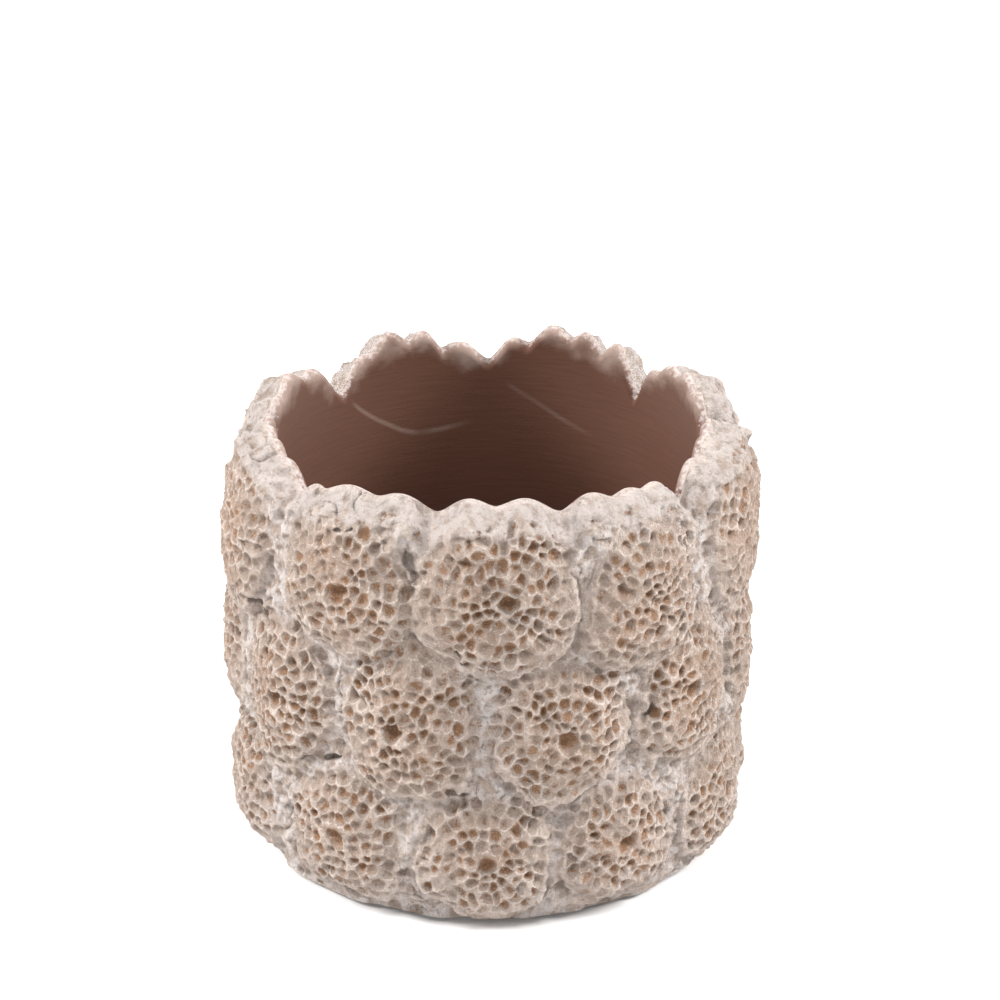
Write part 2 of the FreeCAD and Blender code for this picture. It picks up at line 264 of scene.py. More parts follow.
class Relief:
    """The pot's outside as a height over the wall: three rows of lumps on rough ground. Every lump is
    a disc of pits, smallest in its middle, with one large hole among them."""
    mid_radius = 74.0
    outline_power = 2.4
    crown_powers = ((3.4, 2.8), (3.8, 2.8), (5.5, 2.8))
    row_rises = (5.0, 5.8, 6.0)
    row_leans = (0.06, 0.10, 0.16)
    lip_reach, lip_width, lip_height = 0.90, 0.07, 0.8
    wobbles = ((9.0, 1.4), (3.5, 0.75), (1.7, 0.4))
    ring_radii = (0.0, 3.2, 6.3, 9.6, 13.1, 16.8, 20.7, 24.8, 29.2)
    ring_counts = (1, 7, 13, 18, 23, 28, 32, 36, 40)
    ring_widths = (3.1, 3.1, 3.2, 3.4, 3.6, 3.8, 4.0, 4.2, 4.4)
    ring_jitter, turn_jitter = 0.2, 0.22
    hole_width, hole_depth, hole_stain, hole_room = 6.0, 1.4, 1.3, 0.62
    pit_sizes, pit_depths, pit_stains = (0.78, 1.12), (0.55, 1.25), (0.2, 1.3)
    pit_roundness, pit_stretch, pit_width_power = 0.55, 1.12, 0.7
    pit_slope, pit_slopes = 1.9, (0.25, 1.8)
    lobe_sizes = (0.05, 0.03)
    ground_level = 0.7
    near_turns, near_heights = 36.0, 50.0
    plain_lip, plain_lip_width = 0.93, 0.05
    crease_width, crease_from = 0.55, 0.8

    def __init__(self, sizes):
        self.wall = (sizes.lump_reach - sizes.lump_rise) / MM
        self.pit_share = sizes.pit_depth
        rows = [np.array(row) for row in (BOTTOM_LUMPS, MIDDLE_LUMPS, TOP_LUMPS)]
        self.row_heights = [np.mean(row[:, 1]) for row in rows]
        self.row_of = np.concatenate([[i] * len(row) for i, row in enumerate(rows)])
        table = np.concatenate(rows)
        self.lumps, self.half_sizes, self.holes = table[:, 0:2], table[:, 2:4], table[:, 4:6]
        rng = np.random.default_rng(11)
        count = len(table)
        self.rises = np.array([self.row_rises[row] for row in self.row_of])
        self.rises = self.rises * rng.uniform(0.9, 1.0, count)
        self.lobes = rng.uniform(0.0, 2.0 * math.pi, (count, 2))
        self.pits = [self.lump_pits(lump) for lump in range(count)]

    def lump_pits(self, lump):
        """Across, up, width, depth and stain of each pit of a lump: its large hole, and rings of
        small pits round its middle."""
        rng = np.random.default_rng(100 + lump)
        hole_across, hole_up = self.holes[lump]
        pits = [(hole_across, hole_up, self.hole_width, self.hole_depth, self.hole_stain)]
        for radius, count, width in zip(self.ring_radii, self.ring_counts, self.ring_widths):
            first = rng.uniform(0.0, 2.0 * math.pi)
            for place in range(count):
                shifted = place + rng.uniform(-self.turn_jitter, self.turn_jitter)
                angle = first + 2.0 * math.pi * shifted / count
                spread = radius + rng.uniform(-self.ring_jitter, self.ring_jitter) * width
                across, up = spread * math.cos(angle), self.pit_stretch * spread * math.sin(angle)
                size = width * rng.uniform(*self.pit_sizes)
                depth = rng.uniform(*self.pit_depths)
                stain_and_shade = rng.uniform(*self.pit_stains)
                if math.hypot(across - hole_across, up - hole_up) > self.hole_room * self.hole_width:
                    pits.append((across, up, size, depth, stain_and_shade))
        return np.array(pits)

    def from_middle(self, lump, turns, heights):
        """How far points lie across and up from a lump's middle, in millimetres."""
        turn, height = self.lumps[lump]
        return np.radians(wrapped(turns - turn)) * self.mid_radius, heights - height

    def lump_height(self, lump, turns, heights):
        """A lump's height over the wall, and how far out points lie, with 1 at its edge."""
        across, up = self.from_middle(lump, turns, heights)
        half_width, half_height = self.half_sizes[lump]
        angle = np.arctan2(up, across)
        first, second = self.lobes[lump]
        broad, fine = self.lobe_sizes
        lobing = 1.0 + broad * np.sin(3.0 * angle + first) + fine * np.sin(5.0 * angle + second)
        power = self.outline_power
        reach = (np.abs(across / half_width) ** power + np.abs(up / half_height) ** power)
        reach = reach ** (1.0 / power) * lobing
        below, above = self.crown_powers[self.row_of[lump]]
        crown_power = below + (above - below) * smoothstep(-0.5, 0.5, np.sin(angle))
        crown = self.rises[lump] * (1.0 - reach ** crown_power)
        lip = self.lip_height * np.exp(-((reach - self.lip_reach) / self.lip_width) ** 2)
        lip = lip * (0.6 + 0.4 * np.sin(2.0 * angle + second))
        tilt = -self.row_leans[self.row_of[lump]] * self.rises[lump] * up / half_height
        return crown + lip + tilt, reach

    def border(self, turns, row):
        """Height of the line between a row and the one above it, at each turn."""
        steps = np.linspace(self.row_heights[row], self.row_heights[row + 1], 121)
        grid_turns, grid_heights = np.meshgrid(turns, steps, indexing="ij")
        best = []
        for level in (row, row + 1):
            lumps = np.flatnonzero(self.row_of == level)
            values = [self.lump_height(lump, grid_turns, grid_heights)[0] for lump in lumps]
            best.append(np.max(values, axis=0))
        return steps[np.argmax(best[1] > best[0], axis=1)]

    def sculpt(self, turns, heights):
        """The relief at points, by name: rise over the wall, depth of the pits below that, share of
        the way from a pit's middle to its ridge and above it, and masks for the stain in the pits, which
        is drawn towards their upper sides as painted shade, the ground between the lumps, their cores,
        the plain lip round a lump and the creases."""
        points = round_axis(turns, self.mid_radius, heights)
        warp = sum(size * lattice_noise(points, scale, 21) for scale, size in self.wobbles)
        weft = sum(size * lattice_noise(points, scale, 22) for scale, size in self.wobbles)
        turns = turns + np.degrees(warp / self.mid_radius)
        heights = heights + weft
        rise = self.ground_level + noise(points, "ground_broad") + noise(points, "ground_fine")
        second = np.full(len(turns), -10.0)
        nearest = np.full(len(turns), np.inf)
        owner = np.zeros(len(turns), dtype=int)
        for lump, (turn, height) in enumerate(self.lumps):
            beside = np.abs(wrapped(turns - turn)) < self.near_turns
            near = np.flatnonzero(beside & (np.abs(heights - height) < self.near_heights))
            value, reach = self.lump_height(lump, turns[near], heights[near])
            second[near] = np.maximum(second[near], np.minimum(rise[near], value))
            rise[near] = np.maximum(rise[near], value)
            closer = reach < nearest[near]
            owner[near[closer]] = lump
            nearest[near[closer]] = reach[closer]
        pit, share, stain_and_shade, raised = np.zeros((4, len(turns)))
        for lump in range(len(self.lumps)):
            mine = np.flatnonzero(owner == lump)
            if len(mine):
                fields = self.pit_field(lump, turns[mine], heights[mine])
                pit[mine], share[mine], stain_and_shade[mine], raised[mine] = fields
        patches = noise(points, "stain_patches")
        stain_and_shade = stain_and_shade * np.clip(2.0 - 1.35 * nearest + 0.6 * patches, 0.0, 1.35)
        lower = (heights - self.lumps[owner, 1]) / self.half_sizes[owner, 1]
        plain = smoothstep(-0.35, 0.25, noise(points, "lip_patches") - 0.5 * lower)
        return {
            "rise": rise, "pit": pit, "share": share, "stain_and_shade": stain_and_shade, "raised": raised,
            "off_lump": smoothstep(0.88, 1.06, nearest),
            "core": 1.0 - smoothstep(0.35, 0.95, nearest + 0.25 * patches),
            "lip": np.exp(-((nearest - self.plain_lip) / self.plain_lip_width) ** 2) * plain,
            "crease": np.exp(-((rise - second) / self.crease_width) ** 2) * (nearest > self.crease_from),
        }

    def pit_field(self, lump, turns, heights):
        """Depth of a lump's pits at points, how far each lies from its pit's middle, with 1 on the
        ridges, how strongly it is stained, the stain being drawn towards the pit's upper side as painted
        shade, and how far it lies above that middle."""
        across, up = self.from_middle(lump, turns, heights)
        pits = self.pits[lump]
        gaps_up = (up[:, None] - pits[None, :, 1]) / self.pit_stretch
        reach = np.hypot(across[:, None] - pits[None, :, 0], gaps_up) / pits[None, :, 2]
        lines = np.arange(len(turns))
        at = np.argmin(reach, axis=1)
        first = reach[lines, at]
        reach[lines, at] = np.inf
        other = reach.min(axis=1)
        width, depth, strength = pits[at, 2], pits[at, 3], pits[at, 4]
        share = np.maximum(2.0 * first / (first + other), first / self.pit_roundness)
        raised = gaps_up[lines, at] / width
        slope = np.clip(1.0 + self.pit_slope * raised, *self.pit_slopes)
        dish = 1.0 - np.minimum(share, 1.0) ** 2.0
        # Painted shade: the stain is drawn up towards the pit's upper side, under its overhanging ridge
        stain_and_shade = np.clip(1.25 - 1.3 * share + raised, 0.0, 1.0) * strength
        return dish * slope * depth * width ** self.pit_width_power * self.pit_share, share, stain_and_shade, raised


def read_points(item):
    """An object's vertices as rows of x, y and z."""
    points = np.empty(len(item.data.vertices) * 3)
    item.data.vertices.foreach_get("co", points)
    return points.reshape(-1, 3)


def move_points(item, points):
    """Moves an object's vertices, given in millimetres."""
    item.data.vertices.foreach_set("co", (points * MM).ravel())
    item.data.update()


def paint(item, name, values):
    """Stores a number at each vertex under a name that materials read."""
    layer = item.data.attributes.new(name, "FLOAT", "POINT")
    layer.data.foreach_set("value", values.astype(np.float32))


def clay_sheet(name, columns, rows):
    """A flat sheet of clay, and how far each of its vertices lies along it and up it, from 0 to 1."""
    bpy.ops.object.select_all(action="DESELECT")
    bpy.ops.mesh.primitive_grid_add(x_subdivisions=columns, y_subdivisions=rows, size=1.0)
    sheet = bpy.context.object
    sheet.name = name
    sheet.data.name = name
    points = read_points(sheet)
    return sheet, points[:, 0] + 0.5, points[:, 1] + 0.5


def ring_sheet(name, lines):
    """A sheet to bend right round the axis, and the turn and how far up each of its vertices lies."""
    sheet, along, up = clay_sheet(name, 2 * COLUMNS, lines)
    return sheet, along * 360.0 - 90.0, up


def close_ring(item):
    """Joins the two ends of a sheet that was bent round the axis, and smooths its shading."""
    bpy.context.view_layer.objects.active = item
    bpy.ops.object.mode_set(mode="EDIT")
    bpy.ops.mesh.select_all(action="SELECT")
    bpy.ops.mesh.remove_doubles(threshold=1e-6)
    bpy.ops.object.mode_set(mode="OBJECT")
    bpy.ops.object.shade_smooth()


def round_axis(turns, radii, heights):
    """Points at turns, distances from the axis and heights."""
    angles = np.radians(turns)
    return np.stack([radii * np.sin(angles), -radii * np.cos(angles), heights], axis=1)


def finish_piece(item, material, node):
    """Gives a piece its material and its place in the frame, where it stands for a node."""
    item.data.materials.clear()
    item.data.materials.append(material)
    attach(item, "root")
    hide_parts(node)


# The sheets of relief: columns of each half, lines of each row, and the halves with their first turn
COLUMNS = 640
ROW_LINES = (118, 120, 150)
TOP_ROW = 2
HALVES = (("front", -90.0), ("back", 90.0))
SEAM_INSET = 0.02

# The base is drawn in over the lowest part of the outside
BASE_ROLL, BASE_TUCK = 15.0, 5.0

# The rim: share of the sheet below its shoulder, share of the roll that lies outside the crest, and how
# the roll is shaped
SHOULDER = 0.70
ROLL_SHARE, ROLL_SHARPNESS, ROLL_FADE = 0.8, 2.0, 0.15
SIDE_FLATNESS = 0.4
INNER_DROP = 3.0
KNUCKLE_POWER, KNUCKLE_SWELL, KNUCKLE_FADE = 1.8, 1.2, (5.0, 16.0)
FLARE_TURN, FLARE_SPREAD, FLARE_REACH, FLARE_HEIGHTS = 88.0, 26.0, 3.0, (75.0, 128.0)
DRIFT_REACH, DRIFT_STEPS = 9.0, 7

# The band of plain cement along the rim: where it ends below the crest, the groove at its foot, and the
# pale edge of the crest, a painted highlight
RIM_BAND = (4.0, 8.0)
RIM_FOOT, RIM_FOOT_WIDTH = 7.0, 0.6
RIM_EDGE = 0.8

# How deep creases and chips of the rim are, how wide cracks are as a share of their noise, and how deep
# each kind of cut is as a share of a groove, which also sets how dark the shade painted in it is
CREASE_DEPTH, CHIP_DEPTH, CRACK_WIDTH = 1.5, 1.0, 0.07
TORN_CUT, FOOT_CUT, CRACK_CUT, GOUGE_CUT = 0.7, 0.6, 0.7, 1.4
GOUGE_TURNS = 25.0

# Points of a sheet over which a hollow is measured, and its weight, for fine and for broad hollows. Hollows
# are painted darker as shade and bumps paler as a painted highlight
HOLLOWS = ((2, 0.6), (12, 0.35))


def base_draw(heights):
    """How far the outside is drawn in near the base."""
    low = np.clip(1.0 - (heights - POT_LOW[2] / MM) / BASE_ROLL, 0.0, 1.0)
    return BASE_TUCK * low ** 2


def flare(turns, heights):
    """How far the top of the pot leans out on its right-hand side."""
    aside = np.exp(-(wrapped(turns - FLARE_TURN) / FLARE_SPREAD) ** 2)
    return FLARE_REACH * aside * smoothstep(*FLARE_HEIGHTS, heights)


def gouged(points, turns):
    """How deep points lie in the cracks and hollows of the casting, from 0 to 1."""
    depth = np.zeros(len(points))
    for first_turn, first_height, last_turn, last_height, width in GOUGES:
        near = np.flatnonzero(np.abs(wrapped(turns - first_turn)) < GOUGE_TURNS)
        if len(near):
            radii = np.hypot(points[near, 0], points[near, 1])
            start = round_axis(np.full(len(near), first_turn), radii, np.full(len(near), first_height))
            end = round_axis(np.full(len(near), last_turn), radii, np.full(len(near), last_height))
            run = end - start
            along = np.sum((points[near] - start) * run, axis=1) / np.sum(run * run, axis=1)
            foot = start + run * np.clip(along, 0.0, 1.0)[:, None]
            off = np.linalg.norm(points[near] - foot, axis=1) + noise(points[near], "gouge_edges")
            depth[near] = np.maximum(depth[near], np.exp(-(off / width) ** 2))
    return depth * smoothstep(-0.45, 0.2, noise(points, "gouge_breaks"))


def relief_sheet(relief, sizes, row, name, first_turn):
    """Half a row of lumps, from the line below it to the line above it or over the rim. Returns the
    sheet and, for each of its points, the turn, the height, how far up the sheet it lies and how far
    it is rolled over, both from 0 to 1."""
    sheet, along, up = clay_sheet(name, COLUMNS, ROW_LINES[row])
    columns = first_turn + 180.0 * np.linspace(0.0, 1.0, COLUMNS + 1)
    turns = first_turn + 180.0 * along
    base = POT_LOW[2] / MM
    low = np.interp(turns, columns, relief.border(columns, row - 1)) if row else base
    if row < TOP_ROW:
        high = np.interp(turns, columns, relief.border(columns, row))
        return sheet, turns, low + (high - low) * up, up, np.zeros(len(turns))
    crest = rim_height(turns)
    roll = sizes.rim_roll / MM * (1.0 - SIDE_FLATNESS * np.sin(np.radians(turns)) ** 2)
    over = np.clip((up - SHOULDER) / (1.0 - SHOULDER), 0.0, 1.0)
    heights = low + (crest - roll - low) * np.clip(up / SHOULDER, 0.0, 1.0)
    return sheet, turns, heights, up, over


def roll_over(sizes, turns, heights, radii, over):
    """Rolls the top of the outside over the crest and a little way down the inner face. The roll is
    from 0 at the shoulder to 1 at its end inside."""
    well = sizes.well_face / MM
    crest = rim_height(turns)
    ridge = well + sizes.rim_crest / MM
    outer = np.clip(over / ROLL_SHARE, 0.0, 1.0) * math.pi / 2.0
    inner = np.clip((over - ROLL_SHARE) / (1.0 - ROLL_SHARE), 0.0, 1.0) * math.pi / 2.0
    out_radii = ridge + (radii - ridge) * np.cos(outer) ** ROLL_SHARPNESS
    out_heights = heights + (crest - heights) * np.sin(outer)
    in_radii = well + (ridge - well) * (1.0 - np.sin(inner))
    in_heights = crest - INNER_DROP * (1.0 - np.cos(inner))
    inside = over > ROLL_SHARE
    return np.where(inside, in_radii, out_radii), np.where(inside, in_heights, out_heights)


def hollow(levels, reach):
    """How far each point of a sheet lies below the mean of its neighbours, out to some points away."""
    grid = levels.reshape(-1, COLUMNS + 1)
    mean = np.pad(grid, reach, mode="symmetric")
    for axis in (0, 1):
        mean = np.lib.stride_tricks.sliding_window_view(mean, 2 * reach + 1, axis).mean(axis=-1)
    return (mean - grid).ravel()


def normals_of(item):
    """An object's vertex normals as rows of x, y and z."""
    normals = np.empty(len(item.data.vertices) * 3, dtype=np.float32)
    item.data.vertex_normals.foreach_get("vector", normals)
    return normals.reshape(-1, 3).astype(float)


class CACHEPOT_OT_relief(bpy.types.Operator):
    """Sculpt the outside of the casting, half a row of lumps at a time"""
    bl_idname = "cachepot.relief"
    bl_label = "Relief"

    def execute(self, context):
        sizes = context.scene.cachepot_sizes
        relief = Relief(sizes)
        colours = context.scene.cachepot_colours
        for row, level in enumerate(("bottom", "middle", "top")):
            for half, first_turn in HALVES:
                sheet = self.half_row(relief, sizes, row, f"relief_{level}_{half}", first_turn)
                finish_piece(sheet, cement_material(colours), "cast_pot")
                if row == TOP_ROW:
                    self.coat_inner_roll(sheet, sealer_material(colours))
        return {"FINISHED"}

    def coat_inner_roll(self, sheet, sealer):
        """Gives the faces past the crest of the rim the sealer of the well."""
        sheet.data.materials.append(sealer)
        lines = ROW_LINES[TOP_ROW]
        inner_lines = round(lines * (1.0 - SHOULDER) * (1.0 - ROLL_SHARE))
        inside = np.arange(len(sheet.data.polygons)) // COLUMNS >= lines - inner_lines
        sheet.data.polygons.foreach_set("material_index", inside.astype(np.int32))

    def half_row(self, relief, sizes, row, name, first_turn):
        """One half of a row, sculpted and painted."""
        sheet, turns, heights, up, over = relief_sheet(relief, sizes, row, name, first_turn)
        form = relief.sculpt(turns, heights)
        radii = relief.wall + form["rise"] - base_draw(heights) + flare(turns, heights)
        if row == TOP_ROW:
            crest, arch = rim_arch(turns)
            below_rim = smoothstep(*KNUCKLE_FADE, crest - heights)
            radii = radii + KNUCKLE_SWELL * (arch - 0.5) * (1.0 - below_rim)
            radii, heights = roll_over(sizes, turns, heights, radii, over)
        points = round_axis(turns, radii, heights)
        move_points(sheet, points)
        outward = self.outward(sheet, turns, first_turn, up)
        marks = self.marks(form, points, turns, heights, over)
        push = self.roughness(form, marks, points, round_axis(turns, relief.mid_radius, 0.2 * heights))
        push = push - form["pit"] * marks["keep"] - sizes.groove_depth / MM * marks["cut"]
        push = push - CHIP_DEPTH * marks["chipped"]
        push = push * (1.0 - smoothstep(ROLL_SHARE - ROLL_FADE, ROLL_SHARE, over))
        if row == 0:
            push = push * smoothstep(0.0, 0.03, up)
        points = points + outward * push[:, None]
        move_points(sheet, points)
        level = np.hypot(points[:, 0], points[:, 1])
        # Painted shade: points below their neighbours are painted darker, and points above them paler as a
        # painted highlight
        hollow_shade = sum(weight * hollow(level, reach) for reach, weight in HOLLOWS) * (over < 0.3)
        paint(sheet, "hollow_shade", 0.5 + 0.5 * np.clip(hollow_shade, -1.0, 1.0))
        paint(sheet, "drift_gap", drift_height(turns) - heights)
        self.paint_marks(sheet, form, marks, heights)
        bpy.ops.object.shade_smooth()
        return sheet

    def outward(self, sheet, turns, first_turn, up):
        """The way out of the sheet at each point: its normals, and straight from the axis at its edges,
        where it meets other sheets."""
        along = (turns - first_turn) / 180.0
        inset = np.minimum(np.minimum(along, 1.0 - along) * 4.0, np.minimum(up, 1.0 - up))
        inner = smoothstep(0.0, SEAM_INSET, inset)[:, None]
        return inner * normals_of(sheet) + (1.0 - inner) * round_axis(turns, 1.0, 0.0 * turns)

    def marks(self, form, points, turns, heights, over):
        """The work on the surface, by name: gap to the rim's crest, and masks for the plain band of the
        rim, for how much of the pits is kept, for chips of the rim and for cuts of all kinds, which are
        also painted as shade."""
        off_lump = form["off_lump"]
        outside = over <= ROLL_SHARE
        rim_gap = rim_height(turns) - heights
        ragged_gap = rim_gap + noise(points, "rim_edge")
        on_rim = np.maximum(1.0 - smoothstep(*RIM_BAND, ragged_gap), over > ROLL_SHARE)
        patchy = np.clip(1.0 + noise(points, "pit_depths"), 0.65, 1.35)
        washed_over = smoothstep(0.15, 0.55, noise(points, "washed_over"))
        keep = (1.0 - on_rim) * patchy * (1.0 - 0.5 * off_lump) * (1.0 - 0.8 * form["lip"])
        keep = keep * (1.0 - 0.25 * washed_over)
        chipped = smoothstep(0.22, 0.55, noise(points, "chips")) * smoothstep(1.2, 3.0, rim_gap)
        rim_foot = np.exp(-((ragged_gap - RIM_FOOT) / RIM_FOOT_WIDTH) ** 2)
        rim_foot = rim_foot * smoothstep(0.0, 0.4, noise(points, "rim_foot"))
        cracks = np.exp(-(noise(points, "cracks") / CRACK_WIDTH) ** 2)
        cracks = cracks * smoothstep(-0.1, 0.4, noise(points, "crack_patches"))
        cracks = cracks * np.maximum(on_rim * outside, off_lump)
        torn = smoothstep(0.1, 0.6, noise(points, "torn")) * form["crease"]
        torn = torn * smoothstep(6.0, 20.0, rim_gap)
        cuts = (TORN_CUT * torn, FOOT_CUT * rim_foot, CRACK_CUT * cracks, GOUGE_CUT * gouged(points, turns))
        return {
            "rim_gap": rim_gap, "on_rim": on_rim, "keep": keep, "chipped": chipped * on_rim * outside,
            "cut": np.maximum.reduce(cuts),
        }

    def roughness(self, form, marks, points, crosswise):
        """How far the cement stands out or lies in, apart from pits and cuts. The creases of the rim run
        upwards, so their noise is taken at points whose heights are drawn together."""
        on_rim = marks["on_rim"]
        swell = noise(points, "swell_broad") + noise(points, "swell_fine")
        swell = swell * (1.0 - 0.5 * on_rim)
        swell = swell - np.abs(noise(points, "pocks")) * (0.2 + 0.8 * form["off_lump"])
        creased = np.abs(noise(crosswise, "creases_broad")) + np.abs(noise(crosswise, "creases_fine"))
        creased = CREASE_DEPTH * creased * on_rim
        creased = creased * smoothstep(-0.3, 0.3, noise(points, "crease_patches"))
        return swell + noise(points, "grain") - creased

    def paint_marks(self, sheet, form, marks, heights):
        """Stores the masks that the cement's material reads."""
        keep, on_rim, off_lump = marks["keep"], marks["on_rim"], form["off_lump"]
        share = form["share"]
        # Painted highlight: ridges are paler on the lower side of each pit, where the lip faces up to the
        # light
        ridge = np.exp(-((share - 0.95) / 0.14) ** 2) * np.clip(0.65 - 1.3 * form["raised"], 0.1, 1.0)
        ridge = np.maximum(ridge, 0.45 * smoothstep(0.9, 1.1, share)) * keep
        # Painted highlight: a pale line along the rim's crest
        edge = np.exp(-(marks["rim_gap"] / RIM_EDGE) ** 2)
        low = 0.3 * smoothstep(-40.0, -8.0, -heights)
        stain_and_shade = form["stain_and_shade"] * keep * (1.0 - 0.6 * off_lump)
        paint(sheet, "ridge", np.maximum.reduce([ridge, 0.8 * form["lip"], edge]))
        paint(sheet, "stain_and_shade", np.maximum(stain_and_shade, 0.6 * marks["chipped"]))
        paint(sheet, "ground", np.maximum(off_lump, low) * (1.0 - on_rim))
        paint(sheet, "core", form["core"] * (1.0 - on_rim))
        # Painted shade in every cut: gouges, cracks, the creases between lumps and the groove at the rim's
        # foot
        paint(sheet, "groove_shade", marks["cut"])
        paint(sheet, "rim", on_rim)
        paint(sheet, "crest_gap", marks["rim_gap"])


class CACHEPOT_OT_inner_wall(bpy.types.Operator):
    """Shape the casting's inner wall, floor and underside"""
    bl_idname = "cachepot.inner_wall"
    bl_label = "Inner wall and underside"

    def execute(self, context):
        sizes = context.scene.cachepot_sizes
        colours = context.scene.cachepot_colours
        well = sizes.well_face / MM
        floor = COAT_LOW[2] / MM
        base = POT_LOW[2] / MM
        middle = 0.2
        wall, turns, up = ring_sheet("inner_wall", 24)
        top = rim_height(turns) - INNER_DROP
        wall_share = 0.7
        down = np.clip(up / wall_share, 0.0, 1.0)
        inward = np.clip((up - wall_share) / (1.0 - wall_share), 0.0, 1.0)
        points = round_axis(turns, well + (middle - well) * inward, top + (floor - top) * down)
        move_points(wall, points)
        paint(wall, "crest_gap", rim_height(turns) - points[:, 2])
        paint(wall, "drift_gap", drift_height(turns) - points[:, 2])
        close_ring(wall)
        finish_piece(wall, sealer_material(colours), "cast_pot")

        relief = Relief(sizes)
        under, turns, up = ring_sheet("underside", 12)
        level = np.full(len(turns), base)
        edge = relief.wall + relief.sculpt(turns, level)["rise"] - base_draw(level)
        move_points(under, round_axis(turns, middle + (edge - middle) * up, level))
        paint(under, "hollow_shade", np.full(len(turns), 0.5))
        close_ring(under)
        finish_piece(under, cement_material(colours), "cast_pot")
        return {"FINISHED"}


class CACHEPOT_OT_sealing_coat(bpy.types.Operator):
    """Spin the sealing coat that was brushed into the well"""
    bl_idname = "cachepot.sealing_coat"
    bl_label = "Sealing coat"

    def execute(self, context):
        sizes = context.scene.cachepot_sizes
        well = sizes.well_face / MM
        skin = sizes.coat_thickness / MM
        floor, top = COAT_LOW[2] / MM, COAT_HIGH[2] / MM
        corner = 6.0
        feather = 60.0
        face = well - skin

        def arc(radius, start, end):
            return [(face - corner + radius * math.cos(a), floor + skin + corner - radius * math.sin(a))
                    for a in np.linspace(start, end, 9)]

        profile = [
            (well - 0.05, top), (face, top - feather), *arc(corner, 0.0, math.pi / 2.0),
            (0.0, floor + skin), (0.0, floor), *arc(corner + skin, math.pi / 2.0, 0.0),
            (well - 0.02, top),
        ]
        mesh = bpy.data.meshes.new("sealing_coat_profile")
        corners = [(x * MM, 0.0, z * MM) for x, z in profile]
        mesh.from_pydata(corners, [(i, (i + 1) % len(corners)) for i in range(len(corners))], [])
        coat = bpy.data.objects.new("brushed_coat", mesh)
        bpy.context.collection.objects.link(coat)
        bpy.ops.object.select_all(action="DESELECT")
        coat.select_set(True)
        context.view_layer.objects.active = coat
        bpy.ops.object.mode_set(mode="EDIT")
        bpy.ops.mesh.select_all(action="SELECT")
        bpy.ops.mesh.spin(steps=240, angle=2.0 * math.pi, center=(0.0, 0.0, 0.0), axis=(0.0, 0.0, 1.0))
        bpy.ops.mesh.select_all(action="SELECT")
        bpy.ops.mesh.remove_doubles(threshold=1e-6)
        bpy.ops.mesh.normals_make_consistent(inside=False)
        bpy.ops.object.mode_set(mode="OBJECT")
        bpy.ops.object.shade_smooth_by_angle(angle=math.radians(40.0))
        points = read_points(coat) / MM
        turns = np.degrees(np.arctan2(points[:, 0], -points[:, 1]))
        paint(coat, "crest_gap", rim_height(turns) - points[:, 2])
        paint(coat, "drift_gap", drift_height(turns) - points[:, 2])
        finish_piece(coat, sealer_material(context.scene.cachepot_colours), "sealing_coat")
        return {"FINISHED"}


class CACHEPOT_OT_felt_pads(bpy.types.Operator):
    """Cut the felt pads under the base"""
    bl_idname = "cachepot.felt_pads"
    bl_label = "Felt pads"

    def execute(self, context):
        material = felt_material(context.scene.cachepot_colours)
        for name in FOOT_PADS:
            low, high = Vector(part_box(name)[0]), Vector(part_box(name)[1])
            bpy.ops.object.select_all(action="DESELECT")
            bpy.ops.mesh.primitive_cylinder_add(
                vertices=96, radius=(high.x - low.x) / 2.0, depth=high.z - low.z,
                location=(low + high) / 2.0)
            pad = context.object
            pad.name = name.replace("foot_pad", "felt_pad")
            bpy.ops.object.transform_apply(location=True)
            bevel = pad.modifiers.new("worn edge", "BEVEL")
            bevel.width = 0.0004
            bevel.segments = 3
            bevel.limit_method = "ANGLE"
            bpy.ops.object.modifier_apply(modifier=bevel.name)
            bpy.ops.object.shade_smooth_by_angle(angle=math.radians(40.0))
            finish_piece(pad, material, name)
        return {"FINISHED"}


def shader_tree(name):
    """A new material, its node tree and its Principled shader."""
    material = bpy.data.materials.new(name)
    material.use_nodes = True
    tree = material.node_tree
    return material, tree, tree.nodes["Principled BSDF"]


def add_node(tree, kind, settings=None, **inputs):
    """Adds a node, sets it up, and fills or links its inputs by name."""
    node = tree.nodes.new(kind)
    for key, value in (settings or {}).items():
        setattr(node, key, value)
    for key, value in inputs.items():
        fill_input(tree, node.inputs[key.replace("_", " ")], value)
    return node


def fill_input(tree, socket, value):
    """Links a socket to an output, or sets its value."""
    if isinstance(value, bpy.types.NodeSocket):
        tree.links.new(value, socket)
    else:
        socket.default_value = value


def blend(tree, share, first, second, mode="MIX"):
    """Mixes two colours by a share."""
    node = tree.nodes.new("ShaderNodeMix")
    node.data_type = "RGBA"
    node.blend_type = mode
    fill_input(tree, node.inputs["Factor"], share)
    for socket, value in ((node.inputs[6], first), (node.inputs[7], second)):
        fill_input(tree, socket, value)
    return node.outputs[2]


def maths(tree, operation, *values, clamp=False):
    """The result of a math node."""
    node = tree.nodes.new("ShaderNodeMath")
    node.operation = operation
    node.use_clamp = clamp
    for socket, value in zip(node.inputs, values):
        fill_input(tree, socket, value)
    return node.outputs[0]


def times(tree, first, second):
    """The product of two values."""
    return maths(tree, "MULTIPLY", first, second)


def shaken(tree, value, by, reach):
    """A value moved up and down by a noise that runs from 0 to 1."""
    return maths(tree, "MULTIPLY_ADD", maths(tree, "SUBTRACT", by, 0.5), reach, value)


def ramp(tree, value, low, high, top=1.0):
    """A value brought from the range low to high into 0 to top. The range may run downwards."""
    node = tree.nodes.new("ShaderNodeMapRange")
    node.interpolation_type = "SMOOTHSTEP"
    fill_input(tree, node.inputs["Value"], value)
    for key, limit in (("From Min", low), ("From Max", high), ("To Max", top)):
        node.inputs[key].default_value = limit
    return node.outputs["Result"]


